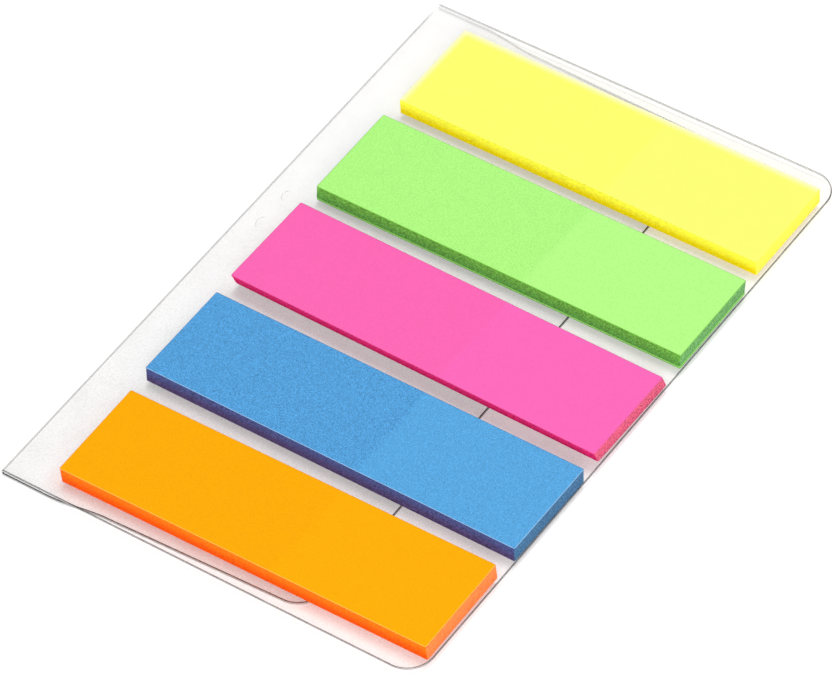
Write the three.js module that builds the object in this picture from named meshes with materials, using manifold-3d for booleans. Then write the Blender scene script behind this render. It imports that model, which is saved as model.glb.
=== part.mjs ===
// Sticky index tabs: a row of coloured tab pads on a clear film that is folded to slip over a page.
// Millimetres, +Z up. X runs along the tabs, from the film's fold to its open edge, and Y runs
// across the row of pads. The origin is under the film's middle, on the face that it lies on.

import * as THREE from "three";
import { mergeVertices } from "three/addons/utils/BufferGeometryUtils.js";
import Module from "manifold-3d";

// A tab, and the pad that its leaves make
const TAB_LENGTH = 45;
const TAB_WIDTH = 12;
const PAD_THICKNESS = 1.85;

// The row of pads: the bare film between two pads and around the row
const PAD_SPACING = 2.74;
const ROW_FOLD_MARGIN = 5.5;
const ROW_OPEN_MARGIN = 0.3;
const ROW_NEAR_MARGIN = 2.5;
const ROW_FAR_MARGIN = 3.1;

// The clear film, and the gap between its two layers that a page slips into
const FILM_THICKNESS = 0.2;
const PAGE_GAP = 0.3;
const LEAF_CORNER_RADIUS = 3;

// The flap folded under: it stops short of the leaf's open edge. It is as wide as the leaf at the
// fold, steps in with a soft shoulder, and then draws in evenly to its free edge.
const FLAP_SETBACK = 14;
const FLAP_SHOULDER_START = 6;
const FLAP_SHOULDER_LENGTH = 7;
const FLAP_SHOULDER_DRAW_IN = 0.75;
const FLAP_DRAW_IN = 1.55;
const FLAP_CORNER_RADIUS = 3;

// The pads, from the far side of the row to the near side. Each was cut and stuck down by hand:
// trim is how much longer and wider than a plain tab it came out, drift is how far its foot lies
// from its place in the row, turn is in degrees, and slide is how far its top leaf has slid from
// its lowest one.
const PADS = [
  {
    name: "yellow_pad", color: 0xffff6e, trim: [-0.65, 0],
    drift: [0, -0.25], turn: -0.1, slide: [0, 0.1],
  },
  {
    name: "green_pad", color: 0xb4ff84, trim: [0, 0],
    drift: [-0.05, -0.05], turn: -0.05, slide: [0.2, 0.05],
  },
  {
    name: "pink_pad", color: 0xff69b9, trim: [0.15, 0],
    drift: [-0.05, 0.4], turn: -0.9, slide: [0.1, -0.7],
  },
  {
    name: "blue_pad", color: 0x50a5e6, trim: [0.25, 0.1],
    drift: [0.05, -0.05], turn: -0.25, slide: [0.05, 0.1],
  },
  {
    name: "orange_pad", color: 0xffaf0f, trim: [-0.7, 0.15],
    drift: [0.3, -0.25], turn: 0.5, slide: [-0.1, 0.05],
  },
];

const PAD_PITCH = TAB_WIDTH + PAD_SPACING;
const ROW_WIDTH = (PADS.length - 1) * PAD_PITCH + TAB_WIDTH;
const FILM_WIDTH = ROW_NEAR_MARGIN + ROW_WIDTH + ROW_FAR_MARGIN;
const LEAF_LENGTH = ROW_FOLD_MARGIN + TAB_LENGTH + ROW_OPEN_MARGIN;
const FILM_HEIGHT = 2 * FILM_THICKNESS + PAGE_GAP;

const FOLD_X = -LEAF_LENGTH / 2;
const OPEN_X = LEAF_LENGTH / 2;
const NEAR_Y = -FILM_WIDTH / 2;
const FAR_Y = FILM_WIDTH / 2;

// The two layers join in a half-round bend, whose centre line lies in the middle of the page gap
const BEND_OUTER_RADIUS = FILM_HEIGHT / 2;
const BEND_INNER_RADIUS = PAGE_GAP / 2;
const BEND_X = FOLD_X + BEND_OUTER_RADIUS;
const BEND_STEPS = 16;
const CORNER_STEPS = 12;

// A cutting shape runs this far past the film, so that no cut ends on one of its faces
const CUT_CLEARANCE = 1;

const wasm = await Module();
wasm.setup();

// A closed geometry as a solid that can be joined and cut
function toSolid(geometry) {
  const bare = geometry.clone();
  bare.deleteAttribute("normal");
  bare.deleteAttribute("uv");
  const merged = mergeVertices(bare);
  return new wasm.Manifold(new wasm.Mesh({
    numProp: 3,
    vertProperties: new Float32Array(merged.attributes.position.array),
    triVerts: new Uint32Array(merged.index.array),
  }));
}

// A solid back as a geometry, shaded flat on each face
function toGeometry(solid) {
  const { vertProperties, triVerts } = solid.getMesh();
  const indexed = new THREE.BufferGeometry();
  indexed.setAttribute("position", new THREE.BufferAttribute(vertProperties, 3));
  indexed.setIndex(new THREE.BufferAttribute(triVerts, 1));
  const geometry = indexed.toNonIndexed();
  geometry.computeVertexNormals();
  return geometry;
}

// An outline in the XY plane as an upright block from one height to another
function standingBlock(outline, low, high) {
  const block = new THREE.ExtrudeGeometry(outline, {
    depth: high - low,
    bevelEnabled: false,
    curveSegments: CORNER_STEPS,
  });
  return block.translate(0, 0, low);
}

// Carries an anticlockwise outline on to the round that takes off one of its corners
function roundCorner(outline, before, corner, after, radius) {
  const back = before.clone().sub(corner).normalize();
  const onward = after.clone().sub(corner).normalize();
  const halfAngle = back.angleTo(onward) / 2;
  const start = corner.clone().addScaledVector(back, radius / Math.tan(halfAngle));
  const end = corner.clone().addScaledVector(onward, radius / Math.tan(halfAngle));
  const middle = back.add(onward).normalize();
  const centre = corner.clone().addScaledVector(middle, radius / Math.sin(halfAngle));
  outline.lineTo(start.x, start.y);
  outline.absarc(
    centre.x,
    centre.y,
    radius,
    start.sub(centre).angle(),
    end.sub(centre).angle(),
    false,
  );
}

// Both layers and the bend between them, as a hairpin section that is drawn out along Y.
// It is over-long and over-wide, as the sheet is before it is cut.
function foldedSheet() {
  const end = OPEN_X + CUT_CLEARANCE;
  const width = FILM_WIDTH + 2 * CUT_CLEARANCE;
  const section = new THREE.Shape();
  section.moveTo(end, 0);
  section.lineTo(end, FILM_THICKNESS);
  section.lineTo(BEND_X, FILM_THICKNESS);
  section.absarc(BEND_X, FILM_HEIGHT / 2, BEND_INNER_RADIUS, -Math.PI / 2, Math.PI / 2, true);
  section.lineTo(end, FILM_HEIGHT - FILM_THICKNESS);
  section.lineTo(end, FILM_HEIGHT);
  section.lineTo(BEND_X, FILM_HEIGHT);
  section.absarc(BEND_X, FILM_HEIGHT / 2, BEND_OUTER_RADIUS, Math.PI / 2, -Math.PI / 2, false);
  const sheet = new THREE.ExtrudeGeometry(section, {
    depth: width,
    bevelEnabled: false,
    curveSegments: BEND_STEPS,
  });
  return sheet.rotateX(Math.PI / 2).translate(0, width / 2, 0);
}

// The upper leaf's outline: straight at the fold, with two round corners at its open edge
function leafOutline() {
  const foldNear = new THREE.Vector2(FOLD_X - CUT_CLEARANCE, NEAR_Y);
  const openNear = new THREE.Vector2(OPEN_X, NEAR_Y);
  const openFar = new THREE.Vector2(OPEN_X, FAR_Y);
  const foldFar = new THREE.Vector2(FOLD_X - CUT_CLEARANCE, FAR_Y);
  const outline = new THREE.Shape();
  outline.moveTo(foldNear.x, foldNear.y);
  roundCorner(outline, foldNear, openNear, openFar, LEAF_CORNER_RADIUS);
  roundCorner(outline, openNear, openFar, foldFar, LEAF_CORNER_RADIUS);
  outline.lineTo(foldFar.x, foldFar.y);
  return outline;
}

// What is cut from the lower layer around the flap: all that lies outside its tapered outline
function flapWasteOutline() {
  const freeX = OPEN_X - FLAP_SETBACK;
  const startX = FOLD_X + FLAP_SHOULDER_START;
  const middleX = startX + FLAP_SHOULDER_LENGTH / 2;
  const endX = startX + FLAP_SHOULDER_LENGTH;
  const shoulderNear = new THREE.Vector2(endX, NEAR_Y + FLAP_SHOULDER_DRAW_IN);
  const freeNear = new THREE.Vector2(freeX, NEAR_Y + FLAP_DRAW_IN);
  const freeFar = new THREE.Vector2(freeX, FAR_Y - FLAP_DRAW_IN);
  const shoulderFar = new THREE.Vector2(endX, FAR_Y - FLAP_SHOULDER_DRAW_IN);
  const outline = new THREE.Shape();
  outline.moveTo(BEND_X, NEAR_Y);
  outline.lineTo(startX, NEAR_Y);
  outline.bezierCurveTo(middleX, NEAR_Y, middleX, shoulderNear.y, endX, shoulderNear.y);
  roundCorner(outline, shoulderNear, freeNear, freeFar, FLAP_CORNER_RADIUS);
  roundCorner(outline, freeNear, freeFar, shoulderFar, FLAP_CORNER_RADIUS);
  outline.lineTo(endX, shoulderFar.y);
  outline.bezierCurveTo(middleX, shoulderFar.y, middleX, FAR_Y, startX, FAR_Y);
  outline.lineTo(BEND_X, FAR_Y);
  outline.lineTo(BEND_X, FAR_Y + 2 * CUT_CLEARANCE);
  outline.lineTo(OPEN_X + 2 * CUT_CLEARANCE, FAR_Y + 2 * CUT_CLEARANCE);
  outline.lineTo(OPEN_X + 2 * CUT_CLEARANCE, NEAR_Y - 2 * CUT_CLEARANCE);
  outline.lineTo(BEND_X, NEAR_Y - 2 * CUT_CLEARANCE);
  return outline;
}

// The clear film: one sheet, folded double at its left edge
function clearFilm() {
  const sheet = toSolid(foldedSheet());
  const leaf = toSolid(standingBlock(leafOutline(), -CUT_CLEARANCE, FILM_HEIGHT + CUT_CLEARANCE));
  const waste = toSolid(standingBlock(flapWasteOutline(), -CUT_CLEARANCE, FILM_HEIGHT / 2));
  const material = new THREE.MeshStandardMaterial({
    color: 0xf4f7f8,
    roughness: 0.08,
    metalness: 0,
    transparent: true,
    opacity: 0.3,
  });
  const film = new THREE.Mesh(toGeometry(sheet.intersect(leaf).subtract(waste)), material);
  film.name = "clear_film";
  return film;
}

// One pad: a block of stuck leaves that leans from its lowest leaf to its top one
function tabPad({ name, color, trim, drift, turn, slide }, place) {
  const halfLength = (TAB_LENGTH + trim[0]) / 2;
  const halfWidth = (TAB_WIDTH + trim[1]) / 2;
  const tab = new THREE.Shape();
  tab.moveTo(-halfLength, -halfWidth);
  tab.lineTo(halfLength, -halfWidth);
  tab.lineTo(halfLength, halfWidth);
  tab.lineTo(-halfLength, halfWidth);
  const block = standingBlock(tab, 0, PAD_THICKNESS);
  const [leanX, leanY] = slide.map((distance) => distance / PAD_THICKNESS);
  block.applyMatrix4(new THREE.Matrix4().set(
    1, 0, leanX, 0,
    0, 1, leanY, 0,
    0, 0, 1, 0,
    0, 0, 0, 1,
  ));
  block.computeVertexNormals();
  const pad = new THREE.Mesh(
    block,
    new THREE.MeshStandardMaterial({ color, roughness: 0.6, metalness: 0 }),
  );
  pad.name = name;
  pad.rotation.z = THREE.MathUtils.degToRad(turn);
  pad.position.set(
    OPEN_X - ROW_OPEN_MARGIN - TAB_LENGTH / 2 + drift[0],
    FAR_Y - ROW_FAR_MARGIN - TAB_WIDTH / 2 - place * PAD_PITCH + drift[1],
    FILM_HEIGHT,
  );
  return pad;
}

const indexTabs = new THREE.Group();
indexTabs.add(clearFilm());
PADS.forEach((pad, place) => indexTabs.add(tabPad(pad, place)));

export default indexTabs;
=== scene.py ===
import math
import random

import bmesh
import bpy
from mathutils import Matrix, Vector


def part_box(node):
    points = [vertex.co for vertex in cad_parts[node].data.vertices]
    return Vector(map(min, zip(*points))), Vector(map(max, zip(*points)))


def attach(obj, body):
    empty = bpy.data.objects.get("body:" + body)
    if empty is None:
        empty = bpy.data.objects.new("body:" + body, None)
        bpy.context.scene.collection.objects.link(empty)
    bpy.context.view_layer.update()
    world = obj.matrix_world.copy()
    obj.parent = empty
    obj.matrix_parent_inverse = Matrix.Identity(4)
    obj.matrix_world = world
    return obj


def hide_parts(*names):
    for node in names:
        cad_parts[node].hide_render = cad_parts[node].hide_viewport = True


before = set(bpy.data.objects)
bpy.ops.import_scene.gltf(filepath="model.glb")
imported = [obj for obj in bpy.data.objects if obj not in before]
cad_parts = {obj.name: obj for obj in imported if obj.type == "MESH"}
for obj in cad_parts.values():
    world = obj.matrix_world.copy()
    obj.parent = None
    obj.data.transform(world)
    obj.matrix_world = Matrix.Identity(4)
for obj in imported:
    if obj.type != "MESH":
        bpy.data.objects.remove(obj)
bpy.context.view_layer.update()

MM = 0.001


# The clear film: one sheet of clear polyester, die cut with round corners and folded double at
# its left edge, so that it slips over a page. The upper leaf carries the pads. The flap under it
# is shorter, and draws in with a soft shoulder just past the fold.

FILM_THICKNESS = 0.2 * MM
LEAF_CORNER_RADIUS = 3 * MM
FLAP_SETBACK = 14 * MM
FLAP_SHOULDER_START = 6 * MM
FLAP_SHOULDER_LENGTH = 7 * MM
FLAP_SHOULDER_DRAW_IN = 0.75 * MM
FLAP_DRAW_IN = 1.55 * MM
FLAP_CORNER_RADIUS = 3 * MM
CUT_EDGE_SHADE_WIDTH = 0.13 * MM
CORNER_SEGMENTS = 14
BEND_STEPS = 16
SHOULDER_STEPS = 10
FOLD_SHADE_DEPTH = 0.7
SHARP_ANGLE = 40
# The film's slots: the clear sheet, dark painted shade along the cut edges, a white painted
# highlight on the upright edge faces, and grey painted shade round the outside of the fold.
CLEAR, CUT_EDGE_SHADE, RIM_HIGHLIGHT, FOLD_SHADE = range(4)

film_low, film_high = (Vector(corner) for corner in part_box("clear_film"))
film_top = film_high.z
bend_radius = (film_high.z - film_low.z) / 2
bend_x = film_low.x + bend_radius


class Wire:
    """A shader socket. Arithmetic on it adds Math nodes, and node() adds any other node."""

    def __init__(self, tree, socket=None):
        self.tree = tree
        self.socket = socket

    def node(self, kind, settings=None, sockets=None, output=0):
        """Adds a node, sets its settings and then its sockets, and gives the output asked for."""
        made = self.tree.nodes.new(kind)
        for name, value in (settings or {}).items():
            setattr(made, name, value)
        for name, value in (sockets or {}).items():
            if isinstance(value, Wire):
                self.tree.links.new(value.socket, made.inputs[name])
            else:
                made.inputs[name].default_value = value
        if isinstance(output, tuple):
            return [Wire(self.tree, made.outputs[name]) for name in output]
        return Wire(self.tree, made.outputs[output])

    def maths(self, operation, *values):
        return self.node("ShaderNodeMath", {"operation": operation}, dict(enumerate(values)))

    def __add__(self, other):
        return self.maths("ADD", self, other)

    __radd__ = __add__

    def __sub__(self, other):
        return self.maths("SUBTRACT", self, other)

    def __rsub__(self, other):
        return self.maths("SUBTRACT", other, self)

    def __mul__(self, other):
        return self.maths("MULTIPLY", self, other)

    __rmul__ = __mul__

    def __neg__(self):
        return self.maths("MULTIPLY", self, -1)

    def __pow__(self, other):
        return self.maths("POWER", self, other)

    def __abs__(self):
        return self.maths("ABSOLUTE", self)

    def step(self, start, end):
        """0 before start and 1 past end, softly between. It may also run downwards."""
        return self.node(
            "ShaderNodeMapRange",
            {"interpolation_type": "SMOOTHSTEP"},
            {"Value": self, "From Min": start, "From Max": end},
        )

    def mix(self, first, second):
        """The first colour where this is 0, and the second where it is 1."""
        return self.node(
            "ShaderNodeMix", {"data_type": "RGBA"}, {0: self, 6: first, 7: second}, output=2
        )

    def shade(self, colour):
        """A colour made lighter or darker by this number."""
        return self.node(
            "ShaderNodeVectorMath", {"operation": "SCALE"}, {0: colour, "Scale": self}
        )

    def most(self, other):
        """The larger of two numbers."""
        return self.maths("MAXIMUM", self, other)

    def noise(self, scale, detail=2, roughness=0.5):
        """Soft noise from 0 to 1 at this place."""
        return self.node(
            "ShaderNodeTexNoise",
            {},
            {"Vector": self, "Scale": scale, "Detail": detail, "Roughness": roughness},
        )

    def stretch(self, scale):
        """This place with its three axes scaled."""
        return self.node("ShaderNodeMapping", {}, {"Vector": self, "Scale": scale})

    def place(self):
        """The object coordinates."""
        return self.node("ShaderNodeTexCoord", output="Object")

    def axes(self):
        """The X, Y and Z of this vector."""
        return self.node("ShaderNodeSeparateXYZ", {}, {0: self}, output=("X", "Y", "Z"))

    def millimetres(self):
        """The X, Y and Z of this place in millimetres."""
        return [axis * (1 / MM) for axis in self.axes()]

    def surface(self):
        """Makes this shader the material's surface."""
        output = self.tree.nodes.new("ShaderNodeOutputMaterial")
        self.tree.links.new(self.socket, output.inputs["Surface"])


def new_material(name):
    """An empty material, and a wire to start its nodes from."""
    material = bpy.data.materials.new(name)
    material.use_nodes = True
    material.node_tree.nodes.clear()
    return material, Wire(material.node_tree)


def tone(red, green, blue):
    """A display colour in 0 to 255 as the linear colour that a shader takes."""
    parts = [value / 255 for value in (red, green, blue)]
    return tuple(p / 12.92 if p < 0.04045 else ((p + 0.055) / 1.055) ** 2.4 for p in parts) + (1,)


# The film's finish. Places and widths are in millimetres, and a pair of them is a soft step.
GLOSS_FACING = 0.012
GLOSS_GRAZING = 0.9
GLOSS_ROUGHNESS = 0.07
HAZE = 0.06
HAZE_CLOUD = 0.025
HAZE_GRAIN = 0.08
HAZE_NEAR_SIDE = 1.2
HAZE_FAR_SIDE = 0.65
HAZE_NEAR_TO_FAR = (-36, 36)
HAZE_COLOUR = (182, 174, 168)
BEND_LINE_HAZE = 0.1
LINE_EDGES = (0.03, 0.08)
SCUFFS = ((-22.3, 7.1), (-22.4, 2.7))
SCUFF_RADIUS = 0.95
SCUFF_OPENING = (-0.45, -0.8)
SCUFF_HAZE = 0.3
ORANGE_LIGHT = 0.13
ORANGE_LIGHT_COLOUR = (250, 140, 112)
ORANGE_LIGHT_UNDER_PAD = (-34, -35)
ORANGE_LIGHT_OUTWARD = (-38.5, -36.3)
ORANGE_LIGHT_LEFT_END = (-22, -18)
ORANGE_LIGHT_WEAKENS = (-4, 20)
ORANGE_LIGHT_LOSS = 0.5


def orange_light(x, y):
    """Where the orange pad's bright side lights the film in front of it, from 0 to 1."""
    in_front = y.step(*ORANGE_LIGHT_UNDER_PAD) * y.step(*ORANGE_LIGHT_OUTWARD)
    along_pad = x.step(*ORANGE_LIGHT_LEFT_END) * (
        1 - ORANGE_LIGHT_LOSS * x.step(*ORANGE_LIGHT_WEAKENS)
    )
    return in_front * along_pad


def scuff(x, y, centre_x, centre_y):
    """One thin half ring rubbed into the film beside the fold, open to the right."""
    along_x = x - centre_x
    along_y = y - centre_y
    off_ring = (along_x ** 2 + along_y ** 2) ** 0.5 - SCUFF_RADIUS
    return along_x.step(*SCUFF_OPENING) * (1 - abs(off_ring).step(*LINE_EDGES))


def clear_film_finish():
    """Clear gloss film. Its top face has a faint cloudy haze, two scuffs and the orange light."""
    material, start = new_material("clear_polyester")
    place = start.place()
    x, y, z = place.millimetres()
    facing = start.node("ShaderNodeLayerWeight", {}, {"Blend": 0.5}, output="Facing")
    gloss = GLOSS_FACING + GLOSS_GRAZING * facing ** 5
    clear = start.node("ShaderNodeBsdfTransparent")
    shine = start.node("ShaderNodeBsdfGlossy", {}, {"Roughness": GLOSS_ROUGHNESS})
    sheet = start.node("ShaderNodeMixShader", {}, {0: gloss, 1: clear, 2: shine})
    cloud = place.noise(400, 4, 0.6).step(0.35, 0.7)
    grain = place.noise(5200, 2, 0.7).step(0.3, 0.75)
    to_far_side = y.step(*HAZE_NEAR_TO_FAR)
    lit = orange_light(x, y)
    haze = HAZE + HAZE_CLOUD * cloud + HAZE_GRAIN * grain
    haze = haze * (HAZE_NEAR_SIDE + (HAZE_FAR_SIDE - HAZE_NEAR_SIDE) * to_far_side)
    haze = haze + ORANGE_LIGHT * lit
    for centre in SCUFFS:
        haze = haze + SCUFF_HAZE * scuff(x, y, *centre)
    haze = haze + BEND_LINE_HAZE * (1 - abs(x - bend_x / MM).step(*LINE_EDGES))
    top_face = z.step(film_top / MM - 0.15, film_top / MM - 0.05)
    veil_colour = lit.mix(tone(*HAZE_COLOUR), tone(*ORANGE_LIGHT_COLOUR))
    veil = start.node("ShaderNodeBsdfDiffuse", {}, {"Color": veil_colour})
    start.node("ShaderNodeMixShader", {}, {0: haze * top_face, 1: sheet, 2: veil}).surface()
    return material


FAR_LINE_LOSS = 0.8
FAR_LINE_LOSS_ABOVE = 0.4
UPPER_LINE_LOSS = 0.25
LINE_ROUGHNESS = 0.3
UPPER_LEAF = (0.3, 0.5)
TOWARDS_FAR_SIDE = (-20, 36)
LONG_EDGES = (35.4, 37.6)


def film_line_finish(name, colour, cover):
    """Painted shade or a painted highlight along a cut edge or the fold: a thin line that lets
    light through and fades to the far side.
    """
    material, start = new_material(name)
    place = start.place()
    y, z = place.millimetres()[1:]
    patch = 0.75 + 0.5 * place.noise(900, 3)
    upper_leaf = z.step(*UPPER_LEAF)
    far_edge = y.step(*TOWARDS_FAR_SIDE) * abs(y).step(*LONG_EDGES)
    far_loss = FAR_LINE_LOSS - (FAR_LINE_LOSS - FAR_LINE_LOSS_ABOVE) * upper_leaf
    strength = (1 - far_edge * far_loss) * (1 - UPPER_LINE_LOSS * upper_leaf) * cover * patch
    clear = start.node("ShaderNodeBsdfTransparent")
    line = start.node(
        "ShaderNodeBsdfPrincipled", {}, {"Base Color": tone(*colour), "Roughness": LINE_ROUGHNESS}
    )
    start.node("ShaderNodeMixShader", {}, {0: strength, 1: clear, 2: line}).surface()
    return material


def flap_stations():
    """The flap's stations from the bend on: how far along each is, and how far drawn in."""
    eases = [step / SHOULDER_STEPS for step in range(SHOULDER_STEPS + 1)]
    stations = [
        (
            film_low.x + FLAP_SHOULDER_START + ease * FLAP_SHOULDER_LENGTH,
            ease * ease * (3 - 2 * ease) * FLAP_SHOULDER_DRAW_IN,
        )
        for ease in eases
    ]
    return stations + [(film_high.x - FLAP_SETBACK, FLAP_DRAW_IN)]


def round_corners(bm, corners, radius, segments):
    bmesh.ops.bevel(
        bm,
        geom=corners,
        offset=radius,
        offset_type="OFFSET",
        affect="VERTICES",
        segments=segments,
        profile=0.5,
        material=-1,
    )


def build_film():
    """The top sheet is drawn flat, spun round the fold and carried on as the flap."""
    bm = bmesh.new()
    corners = [
        bm.verts.new((x, y, film_top))
        for x, y in (
            (bend_x, film_high.y),
            (bend_x, film_low.y),
            (film_high.x, film_low.y),
            (film_high.x, film_high.y),
        )
    ]
    bm.faces.new(corners)
    fold_edge = bm.edges.get(corners[:2])
    round_corners(bm, corners[2:], LEAF_CORNER_RADIUS, CORNER_SEGMENTS)
    bent = bmesh.ops.spin(
        bm,
        geom=[fold_edge, *fold_edge.verts],
        cent=(bend_x, 0, bend_radius),
        axis=(0, 1, 0),
        angle=-math.pi,
        steps=BEND_STEPS,
        use_merge=False,
    )
    last = [item for item in bent["geom_last"] if isinstance(item, bmesh.types.BMEdge)]
    for station_x, draw_in in flap_stations():
        grown = bmesh.ops.extrude_edge_only(bm, edges=last)["geom"]
        last = [item for item in grown if isinstance(item, bmesh.types.BMEdge)]
        for vert in {v for edge in last for v in edge.verts}:
            vert.co.x = station_x
            vert.co.y = math.copysign(film_high.y - draw_in, vert.co.y)
    round_corners(bm, list(last[0].verts), FLAP_CORNER_RADIUS, CORNER_SEGMENTS)
    bmesh.ops.recalc_face_normals(bm, faces=bm.faces)
    highest = max(bm.faces, key=lambda face: face.calc_center_median().z)
    if highest.normal.z < 0:
        bmesh.ops.reverse_faces(bm, faces=bm.faces)
    border = bmesh.ops.inset_region(
        bm, faces=bm.faces[:], thickness=CUT_EDGE_SHADE_WIDTH, use_even_offset=True, use_boundary=True
    )
    # The border along the cut edges takes the dark painted shade.
    for face in border["faces"]:
        face.material_index = CUT_EDGE_SHADE
    bmesh.ops.solidify(bm, geom=bm.faces[:], thickness=FILM_THICKNESS)
    bmesh.ops.recalc_face_normals(bm, faces=bm.faces)
    # Upright edge faces take the white painted highlight, and the outermost faces of the fold take
    # the grey painted shade.
    for face in bm.faces:
        centre = face.calc_center_median()
        upright = abs(face.normal.z) < 0.5
        if upright and (centre.x > bend_x or abs(face.normal.y) > 0.7):
            face.material_index = RIM_HIGHLIGHT
        elif upright and centre.x < bend_x - FOLD_SHADE_DEPTH * bend_radius:
            face.material_index = FOLD_SHADE
    return bm


def finished_piece(name, bm, materials, sharp_angle=SHARP_ANGLE):
    """The bmesh as a piece at the origin, with its materials and its sharp edges."""
    mesh = bpy.data.meshes.new(name)
    bm.to_mesh(mesh)
    bm.free()
    for material in materials:
        mesh.materials.append(material)
    mesh.shade_smooth()
    mesh.set_sharp_from_angle(angle=math.radians(sharp_angle))
    piece = bpy.data.objects.new(name, mesh)
    bpy.context.scene.collection.objects.link(piece)
    return piece


film = finished_piece(
    "folded_clear_film",
    build_film(),
    [
        clear_film_finish(),
        # Painted shade for the cut edges and the fold, and a painted highlight for the upright
        # edge faces.
        film_line_finish("film_cut_edge_painted_shade", (22, 20, 18), 1.0),
        film_line_finish("film_rim_painted_highlight", (250, 250, 250), 0.5),
        film_line_finish("film_fold_painted_shade", (110, 110, 108), 0.45),
    ],
)
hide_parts("clear_film")
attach(film, "root")


# The tab pads: each is a stack of thin fluorescent film tabs, cut together and stuck to each
# other along a bit more than half of their length. The lowest tab sticks to the film. A pad leans
# a little where its tabs slid on each other, and the green one's lowest tab stands out.

TAB_COUNT = 20
TAB_LENGTH = 45 * MM
TAB_WIDTH = 12 * MM
TAB_CORNER_RADIUS = 0.15 * MM
TAB_CORNER_SEGMENTS = 4
TAB_DRIFT = 0.009 * MM
SEAM_SHARE = 0.2
SEAM_DEPTH = 0.012 * MM
TOP_RIM_WIDTH = 0.06 * MM
TOP_RIM_DROP = 0.03 * MM
FOOT_LIFT = 0.004 * MM
PAD_SHARP_ANGLE = 15

# The trim, slide and proud foot are in millimetres and the turn is in degrees. The colours are
# display colours, and the last four values say how strongly each effect shows.
PADS = (
    {
        "colour": "yellow",
        "seed": 11,
        "trim": (-0.65, 0),
        "turn": -0.1,
        "slide": (0, 0.1),
        "proud_foot": (0, 0),
        "gummed": (253, 254, 112),
        "free": (253, 254, 119),
        "side_foot_colour_and_shade": (236, 208, 4),
        "side_high": (253, 246, 70),
        "end": (250, 246, 95),
        "rim_painted_light": (253, 253, 120),
        "far_rim_painted_light": (254, 254, 200),
        "grain": 0.03,
        "glow": 0.3,
        "edge_highlight": 0.95,
        "speckle": 0.25,
    },
    {
        "colour": "green",
        "seed": 12,
        "trim": (0, 0),
        "turn": -0.05,
        "slide": (0.2, 0.05),
        "proud_foot": (0.12, -0.12),
        "gummed": (177, 249, 131),
        "free": (184, 253, 138),
        "side_foot_colour_and_shade": (93, 161, 72),
        "side_high": (108, 178, 70),
        "end": (117, 176, 105),
        "rim_painted_light": (136, 212, 88),
        "far_rim_painted_light": (118, 190, 92),
        "grain": 0.2,
        "glow": 0.2,
        "edge_highlight": 0,
        "speckle": 0.7,
    },
    {
        "colour": "pink",
        "seed": 13,
        "trim": (0.15, 0),
        "turn": -0.9,
        "slide": (0.1, -0.7),
        "proud_foot": (0, 0),
        "gummed": (253, 105, 182),
        "free": (253, 107, 188),
        "side_foot_colour_and_shade": (203, 30, 98),
        "side_high": (228, 42, 112),
        "end": (228, 100, 131),
        "rim_painted_light": (242, 98, 170),
        "far_rim_painted_light": (206, 62, 128),
        "grain": 0.12,
        "glow": 0.2,
        "edge_highlight": 0,
        "speckle": 0.7,
    },
    {
        "colour": "blue",
        "seed": 14,
        "trim": (0.25, 0.1),
        "turn": -0.25,
        "slide": (0.05, 0.1),
        "proud_foot": (0, 0),
        "gummed": (85, 160, 218),
        "free": (90, 168, 225),
        # The blue pad's purplish sides are partly a painted reflection of the orange pad and
        # painted shade.
        "side_foot_colour_and_shade": (77, 68, 112),
        "side_high": (76, 90, 146),
        "end": (72, 122, 161),
        "rim_painted_light": (150, 196, 236),
        "far_rim_painted_light": (62, 112, 178),
        "grain": 0.62,
        "glow": 0.2,
        "edge_highlight": 0,
        "speckle": 0.7,
    },
    {
        "colour": "orange",
        "seed": 15,
        "trim": (-0.7, 0.15),
        "turn": 0.5,
        "slide": (-0.1, 0.05),
        "proud_foot": (0, 0),
        "gummed": (253, 173, 0),
        "free": (253, 176, 0),
        "side_foot_colour_and_shade": (226, 80, 6),
        "side_high": (240, 113, 16),
        "end": (238, 138, 78),
        "rim_painted_light": (254, 192, 84),
        "far_rim_painted_light": (250, 142, 40),
        "grain": 0.12,
        "glow": 0.4,
        "edge_highlight": 0,
        "speckle": 0.4,
    },
)


# The tabs' finish. Places on a pad are in millimetres, and the four pairs that are named for
# faces say how far a face has to turn upwards, endwards or to the far side to count as one.
GUM_END = 3.6
GUM_END_BLUR = 0.5
GUM_END_WANDER = 1.2
EDGE_HIGHLIGHT_BAND = (-0.5, 1)
EDGE_HIGHLIGHT_COLOUR = (254, 254, 240)
RIM_BAND = (-0.06, -0.04)
TOP_FACES = (0.9, 0.97)
RIM_FACES = (0.2, 0.3)
END_FACES = (0.6, 0.8)
FAR_FACES = (0.05, 0.15)
TAB_ROUGHNESS = 0.5
TAB_SHEEN = 0.06
TAB_BUMP = 0.02 * MM


def tab_top(pad, foot_middle, place, grain):
    """The top tab's colour: a little darker over the gum, with a painted highlight along the left
    end and the far edge.
    """
    x, y = place.millimetres()[:2]
    along_pad = x - foot_middle.x / MM
    wander = GUM_END_WANDER * (place.noise(120) - 0.5)
    free_end = (along_pad + wander).step(GUM_END - GUM_END_BLUR, GUM_END + GUM_END_BLUR)
    colour = free_end.mix(tone(*pad["gummed"]), tone(*pad["free"]))
    # A light painted highlight runs along the left end and the far edge.
    to_left = along_pad + (TAB_LENGTH / MM + pad["trim"][0]) / 2
    to_far = (foot_middle.y + TAB_WIDTH / 2) / MM + pad["slide"][1] - y
    edge_highlight_mask = 1 - to_left.step(*EDGE_HIGHLIGHT_BAND) * to_far.step(*EDGE_HIGHLIGHT_BAND)
    colour = (pad["edge_highlight"] * edge_highlight_mask).mix(colour, tone(*EDGE_HIGHLIGHT_COLOUR))
    grainy = pad["grain"] * (grain - 0.5) * (1.2 - 0.4 * free_end)
    cloudy = 0.03 * (place.noise(420, 3) - 0.5)
    return (1 + grainy + cloudy).shade(colour)


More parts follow.
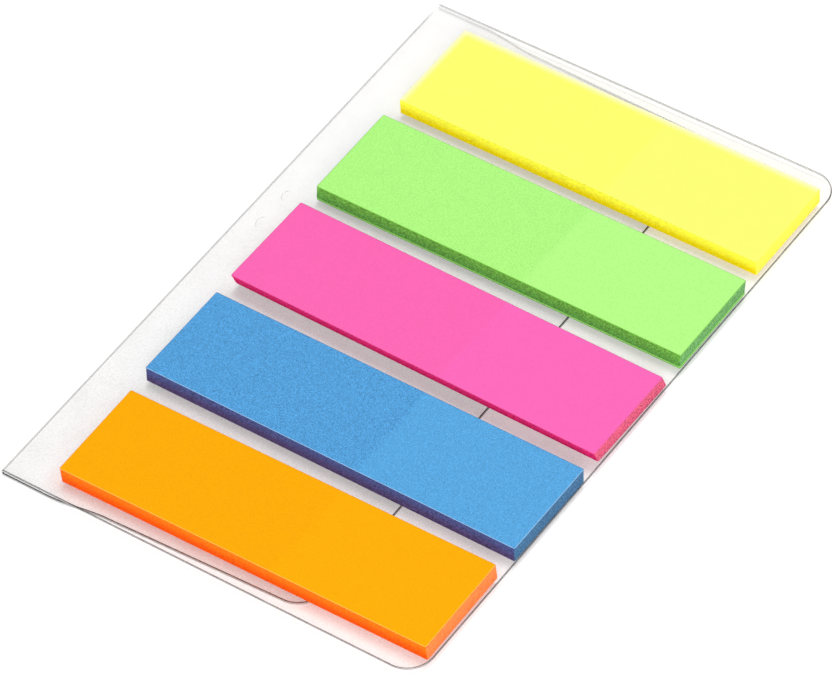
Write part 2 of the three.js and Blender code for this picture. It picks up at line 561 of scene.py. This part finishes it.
def tab_sides(pad, pad_top, place, across, speckle):
    """The cut sides' colour: the tabs' deep edge colour, darker towards a long side's foot with
    painted shade, and paler on an end, which is partly painted light.
    """
    z = place.millimetres()[2]
    height = (z - film_top / MM) * (MM / (pad_top - film_top))
    # Painted shade darkens a long side towards its foot, and an end's paler colour is partly
    # painted light.
    long_side = height.step(0.1, 0.9).mix(tone(*pad["side_foot_colour_and_shade"]), tone(*pad["side_high"]))
    colour = abs(across).step(*END_FACES).mix(long_side, tone(*pad["end"]))
    return (1 + pad["speckle"] * (speckle - 0.5)).shade(colour)


def tab_finish(pad, foot_middle, pad_top):
    """Fluorescent film: a grainy top, sides with a painted glow that the tabs' edges speckle, and
    top edges with painted light and shade.
    """
    material, start = new_material(pad["colour"] + "_tab_film")
    place = start.place()
    z = place.millimetres()[2]
    across, along, up = start.node("ShaderNodeNewGeometry", output="True Normal").axes()
    grain = place.noise(12000, 2, 0.7).step(0.35, 0.65)
    speckle = place.stretch((5500, 5500, 9000)).noise(1, 1).step(0.35, 0.65)
    is_top = up.step(*TOP_FACES)
    is_rim = (1 - is_top) * up.step(*RIM_FACES) * (z - pad_top / MM).step(*RIM_BAND)
    is_side = (1 - is_top) * (1 - is_rim)
    sides = tab_sides(pad, pad_top, place, across, speckle)
    colour = is_top.mix(sides, tab_top(pad, foot_middle, place, grain))
    # The top's bevelled edge takes painted light and shade, with its own colours on the far and
    # left sides.
    on_far_side = along.most(-across).step(*FAR_FACES)
    colour = is_rim.mix(colour, on_far_side.mix(tone(*pad["rim_painted_light"]), tone(*pad["far_rim_painted_light"])))
    bump = start.node(
        "ShaderNodeBump",
        {},
        {"Strength": 0.25, "Distance": TAB_BUMP, "Height": grain + speckle},
    )
    start.node(
        "ShaderNodeBsdfPrincipled",
        {},
        {
            "Base Color": colour,
            "Roughness": TAB_ROUGHNESS + 0.2 * grain,
            "Specular IOR Level": TAB_SHEEN,
            # The sides' emission is a painted glow that adds light they would not otherwise get.
            "Emission Color": is_side.mix((0, 0, 0, 1), colour),
            "Emission Strength": pad["glow"],
            "Normal": bump,
        },
    ).surface()
    return material


def build_pad(pad, foot_middle, pad_top):
    """The lowest tab's outline is raised tab by tab, with a fine groove after each."""
    dice = random.Random(pad["seed"])
    slide = Vector(pad["slide"]) * MM
    proud = Vector(pad["proud_foot"]) * MM
    bm = bmesh.new()
    bmesh.ops.create_grid(bm, x_segments=1, y_segments=1, size=0.5)
    trim_x, trim_y = pad["trim"]
    size = (TAB_LENGTH + trim_x * MM, TAB_WIDTH + trim_y * MM, 1)
    bmesh.ops.scale(bm, vec=size, verts=bm.verts)
    round_corners(bm, bm.verts[:], TAB_CORNER_RADIUS, TAB_CORNER_SEGMENTS)
    bmesh.ops.translate(bm, vec=(*proud, 0), verts=bm.verts)
    tab = (pad_top - film_top - FOOT_LIFT) / TAB_COUNT
    seam = tab * SEAM_SHARE / 2
    top = bm.faces[:]
    middle = proud

    def grow(lift, outset=0, shift=Vector((0, 0))):
        """Raises the top by a new ring of faces, moved sideways and out."""
        nonlocal top, middle
        made = bmesh.ops.extrude_face_region(bm, geom=top)["geom"]
        top = [item for item in made if isinstance(item, bmesh.types.BMFace)]
        for vert in {v for face in top for v in face.verts}:
            vert.co.x += shift.x + outset * math.copysign(1, vert.co.x - middle.x)
            vert.co.y += shift.y + outset * math.copysign(1, vert.co.y - middle.y)
            vert.co.z += lift
        middle = middle + shift

    last_drift = proud
    for number in range(TAB_COUNT - 1):
        grow(tab - 2 * seam)
        drift = Vector((dice.uniform(-1, 1), dice.uniform(-1, 1))) * TAB_DRIFT
        shift = (slide / TAB_COUNT + drift - last_drift) / 2
        last_drift = drift
        grow(seam, -SEAM_DEPTH, shift)
        grow(seam, SEAM_DEPTH, shift)
    grow(tab - TOP_RIM_DROP)
    grow(TOP_RIM_DROP, -TOP_RIM_WIDTH)
    bmesh.ops.recalc_face_normals(bm, faces=bm.faces)
    bmesh.ops.rotate(bm, matrix=Matrix.Rotation(math.radians(pad["turn"]), 3, "Z"), verts=bm.verts)
    bmesh.ops.translate(bm, vec=(*foot_middle, film_top + FOOT_LIFT), verts=bm.verts)
    return bm


for pad in PADS:
    low, high = (Vector(corner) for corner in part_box(pad["colour"] + "_pad"))
    foot_middle = (low.xy + high.xy - Vector(pad["slide"]) * MM) / 2
    piece = finished_piece(
        pad["colour"] + "_tab_stack",
        build_pad(pad, foot_middle, high.z),
        [tab_finish(pad, foot_middle, high.z)],
        PAD_SHARP_ANGLE,
    )
    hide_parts(pad["colour"] + "_pad")
    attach(piece, "root")


# The studio: a white table under an even sky, with a soft lamp high above the far side and a
# weaker, larger one in front. It isn't part of the object. Its places and sizes are in metres.

TABLE_SIZE = 3
TABLE_DROP = 0.03 * MM
TABLE_GREY = (244, 244, 244)
TABLE_WHITE = (248, 248, 248)
TABLE_GLOW = 0.3
SKY_STRENGTH = 0.4
SOFT_LAMPS = (
    ("overhead_lamp", Vector((-0.05, 0.45, 1.97)), 0.8, 15.05),
    ("front_lamp", Vector((1.33, -2.05, 1.77)), 2, 46),
)


def table_finish():
    """White board that looks white to the camera and still shows the shadow."""
    material, start = new_material("white_table")
    paper = start.place().noise(900, 3)
    board = start.node(
        "ShaderNodeBsdfDiffuse", {}, {"Color": paper.mix(tone(*TABLE_GREY), tone(*TABLE_WHITE))}
    )
    seen, mirrored, through = start.node(
        "ShaderNodeLightPath",
        output=("Is Camera Ray", "Is Glossy Ray", "Is Transmission Ray"),
    )
    watched = seen.most(mirrored).most(through)
    glow = start.node(
        "ShaderNodeEmission", {}, {"Color": (1, 1, 1, 1), "Strength": watched * TABLE_GLOW}
    )
    start.node("ShaderNodeAddShader", {}, {0: board, 1: glow}).surface()
    return material


table_mesh = bmesh.new()
bmesh.ops.create_grid(table_mesh, x_segments=1, y_segments=1, size=TABLE_SIZE / 2)
bmesh.ops.translate(table_mesh, vec=(0, 0, -TABLE_DROP), verts=table_mesh.verts)
table = finished_piece("white_table", table_mesh, [table_finish()])

world = bpy.data.worlds.new("even_sky")
world.use_nodes = True
sky = world.node_tree.nodes["Background"].inputs
sky["Color"].default_value = (1, 1, 1, 1)
sky["Strength"].default_value = SKY_STRENGTH
bpy.context.scene.world = world

for lamp_name, lamp_place, lamp_width, lamp_power in SOFT_LAMPS:
    lamp_data = bpy.data.lights.new(lamp_name, "AREA")
    lamp_data.shape = "DISK"
    lamp_data.size = lamp_width
    lamp_data.energy = lamp_power
    lamp = bpy.data.objects.new(lamp_name, lamp_data)
    lamp.matrix_world = Matrix.LocRotScale(lamp_place, lamp_place.to_track_quat("Z", "Y"), None)
    bpy.context.scene.collection.objects.link(lamp)

# The camera stands where the photograph was taken from, and is rolled a little.
CAMERA_LENS = 275.34
CAMERA_SENSOR = 36
CAMERA_PLACE = (0.27539, -0.33552, 0.47663)
CAMERA_RIGHT = (0.81684, 0.57241, -0.0716)
CAMERA_UP = (-0.38652, 0.63522, 0.66866)
CAMERA_BACK = (0.42823, -0.51851, 0.74011)

camera_data = bpy.data.cameras.new("camera")
camera_data.lens = CAMERA_LENS
camera_data.sensor_width = CAMERA_SENSOR
camera_data.sensor_fit = "HORIZONTAL"
camera_data.clip_start = 0.01
camera = bpy.data.objects.new("camera", camera_data)
turned = Matrix((CAMERA_RIGHT, CAMERA_UP, CAMERA_BACK)).transposed().to_4x4()
camera.matrix_world = Matrix.Translation(CAMERA_PLACE) @ turned
bpy.context.scene.collection.objects.link(camera)
bpy.context.scene.camera = camera
bpy.context.scene.view_settings.view_transform = "Standard"
